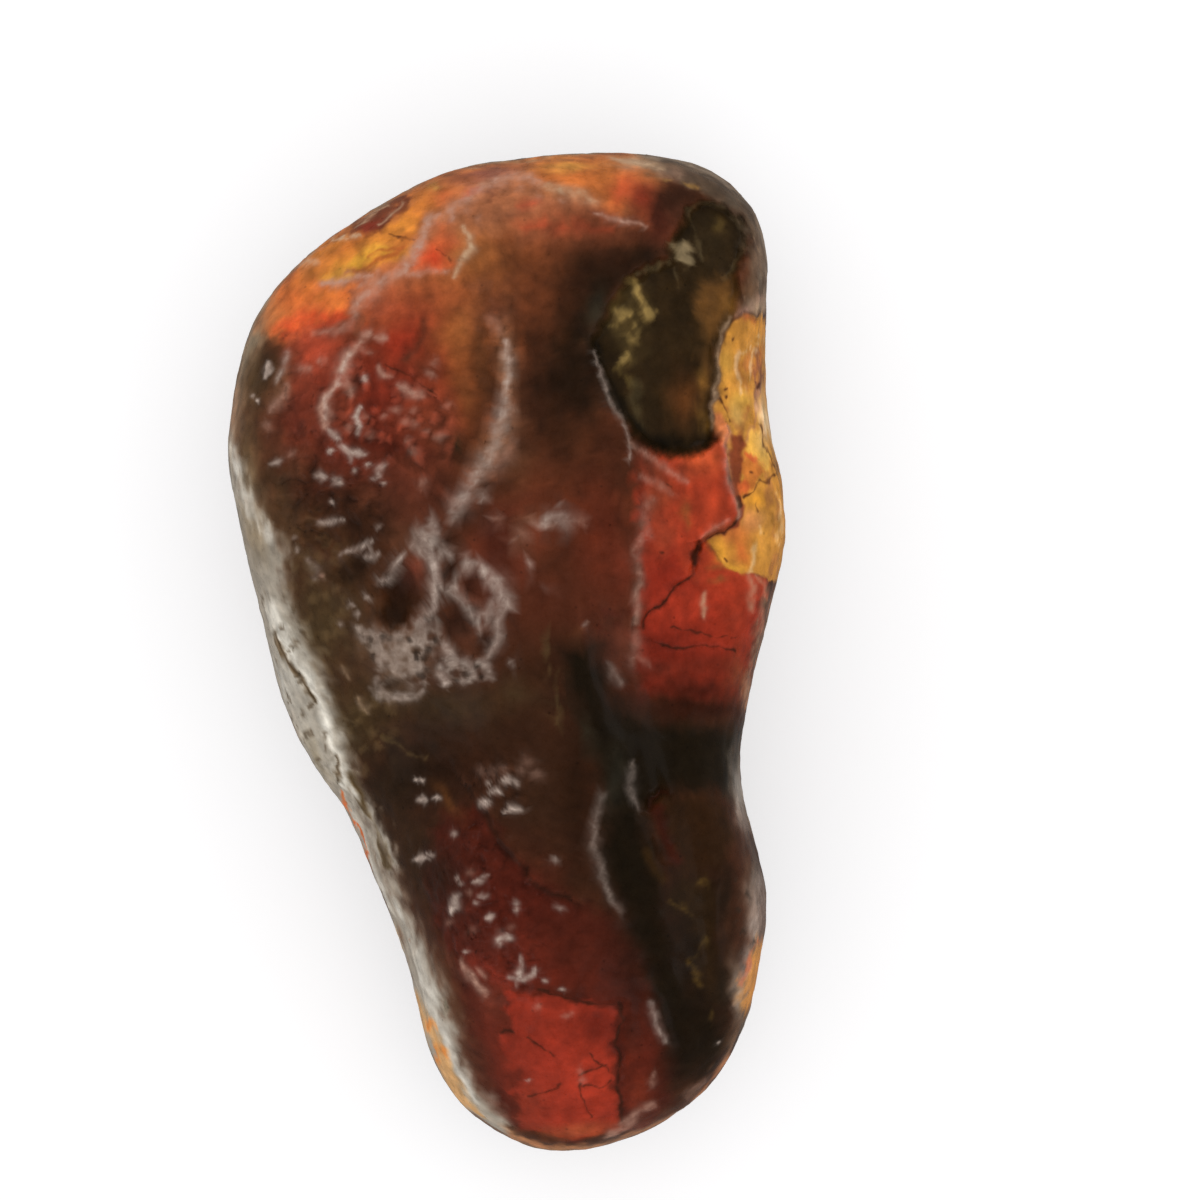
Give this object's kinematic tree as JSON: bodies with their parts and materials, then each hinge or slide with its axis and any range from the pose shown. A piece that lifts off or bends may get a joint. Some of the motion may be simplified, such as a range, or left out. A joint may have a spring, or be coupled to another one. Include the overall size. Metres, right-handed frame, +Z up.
{
  "type": "rough fire agate",
  "caption": "Rough, unpolished fire agate nodule with glossy red, amber and brown botryoidal chalcedony, lying on its flattest side.",
  "frame": {"origin": "on the resting surface, under the middle of the stone's bounding box", "axes": "+Z up from the resting face, +Y along the length towards the broad end, +X to the side with the dark pocket"},
  "size_m": [0.0334, 0.06, 0.0223],
  "materials": {
    "agate": "waxy to glassy natural skin; dark brown and olive, with red, orange and amber translucent windows, bubbly and cracked in places"
  },
  "bodies": {
    "root": {"agate_nodule": "agate"}
  },
  "joints": []
}
